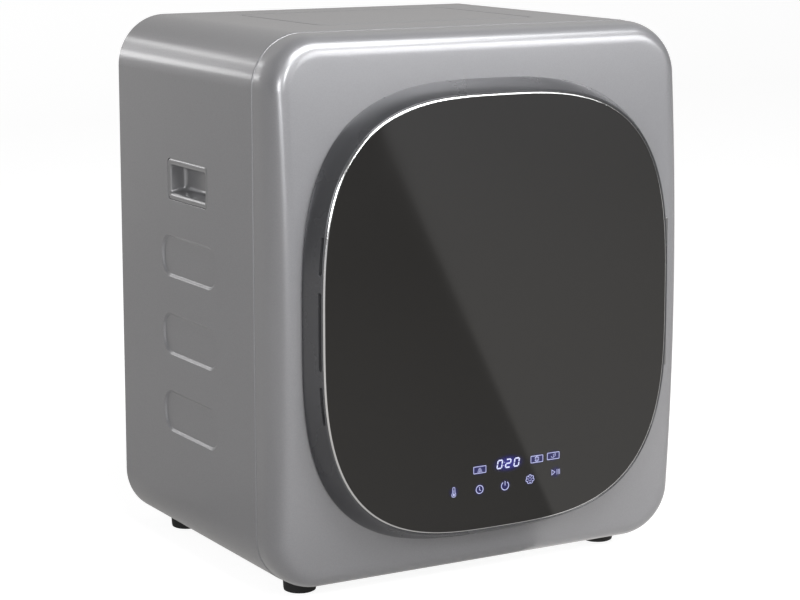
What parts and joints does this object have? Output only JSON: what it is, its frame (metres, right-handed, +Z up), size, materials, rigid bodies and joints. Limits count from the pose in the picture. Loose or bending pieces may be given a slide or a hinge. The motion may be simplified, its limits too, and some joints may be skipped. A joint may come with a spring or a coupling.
{
  "type": "vented tumble dryer",
  "caption": "Compact front-loading vented tumble dryer with a proud glass-faced door, touch panel, carry-handle pockets, drum drive and rear exhaust spigot.",
  "frame": {"origin": "on the floor under the middle of the whole machine, exhaust spigot included", "axes": "+X to the right seen from the front, +Y from the front to the back, +Z up"},
  "size_m": [0.584, 0.516, 0.69],
  "materials": {
    "silver_body": "metallic silver paint on moulded plastic",
    "silver_front": "metallic silver paint on moulded plastic",
    "silver_insert": "satin silver",
    "door_grey": "dark grey satin",
    "bright_trim": "bright",
    "black_glass": "tinted glass, printed black on the back",
    "liner_grey": "satin",
    "black_plastic": "satin",
    "dark_plastic": "satin",
    "white_plastic": "satin",
    "black_rubber": "matt",
    "felt": "felt",
    "galvanised": "zinc coated sheet steel",
    "steel": "brushed",
    "painted_steel": "grey paint",
    "bronze": "sintered bronze",
    "motor_metal": "cast and painted",
    "board_green": "circuit board",
    "red_plastic": "satin",
    "mesh": "fine woven mesh"
  },
  "bodies": {
    "cabinet": {"housing": "silver_body", "front_fascia": "silver_front", "rear_panel": "galvanised", "handle_pocket_left": "silver_insert", "handle_pocket_right": "silver_insert", "foot_front_left": "black_rubber", "foot_front_right": "black_rubber", "foot_rear_left": "black_rubber", "foot_rear_right": "black_rubber", "base_tray": "galvanised", "door_surround": "liner_grey", "door_seal": "black_rubber", "front_bulkhead": "galvanised", "drum_front_felt": "felt", "rear_bulkhead": "galvanised", "bearing_housing": "motor_metal", "shaft_bush": "bronze", "heater_duct": "galvanised", "heater_element": "steel", "thermostats": "black_plastic", "lint_duct": "dark_plastic", "blower_housing": "dark_plastic", "exhaust_plenum": "dark_plastic", "exhaust_duct": "galvanised", "exhaust_spigot": "silver_insert", "motor_body": "motor_metal", "motor_cradle": "painted_steel", "drum_belt": "black_rubber", "idler_arm": "steel", "idler_spring": "steel", "hinge_bracket": "painted_steel", "hinge_pin": "steel", "door_catch": "black_plastic", "door_switch": "dark_plastic", "power_box": "black_plastic", "cord_gland": "black_rubber", "rear_screws": "steel"},
    "door": {"door_frame": "door_grey", "door_bezel": "bright_trim", "door_glass": "black_glass", "door_liner": "liner_grey", "hinge_leaf": "painted_steel", "latch_tongue": "black_plastic", "control_tray": "black_plastic", "touch_board": "board_green"},
    "drum": {"drum_shell": "steel", "drum_back": "steel", "lifter_1": "liner_grey", "lifter_2": "liner_grey", "lifter_3": "liner_grey", "drum_shaft": "steel"},
    "motor_rotor": {"motor_shaft": "steel", "blower_wheel": "white_plastic", "motor_pulley": "steel"},
    "idler": {"idler_wheel": "white_plastic"},
    "lint_filter": {"filter_frame": "white_plastic", "filter_mesh": "mesh"},
    "switch_button": {"switch_plunger": "red_plastic"}
  },
  "joints": [
    {"name": "door_hinge", "type": "hinge", "parent": "cabinet", "child": "door", "pos_m": [0.256, -0.238, 0.345], "axis": [0, 0, 1], "range_deg": [0, 120]},
    {"name": "drum_spin", "type": "hinge", "parent": "cabinet", "child": "drum", "pos_m": [0, 0, 0.345], "axis": [0, 1, 0], "continuous": true},
    {"name": "motor_spin", "type": "hinge", "parent": "cabinet", "child": "motor_rotor", "pos_m": [0.212, 0, 0.101], "axis": [0, 1, 0], "continuous": true},
    {"name": "idler_spin", "type": "hinge", "parent": "cabinet", "child": "idler", "pos_m": [0.15, 0, 0.087], "axis": [0, 1, 0], "continuous": true},
    {"name": "filter_slide", "type": "slide", "parent": "cabinet", "child": "lint_filter", "axis": [0, 0, 1], "range_m": [0, 0.085]},
    {"name": "switch_slide", "type": "slide", "parent": "cabinet", "child": "switch_button", "axis": [0, 1, 0], "range_m": [0, 0.0025], "stiffness_N_per_m": 200, "springref_m": -0.003}
  ],
  "couplings": [
    {"joint": "motor_spin", "follows": "drum_spin", "ratio": 22.921},
    {"joint": "idler_spin", "follows": "drum_spin", "ratio": -16.987}
  ]
}
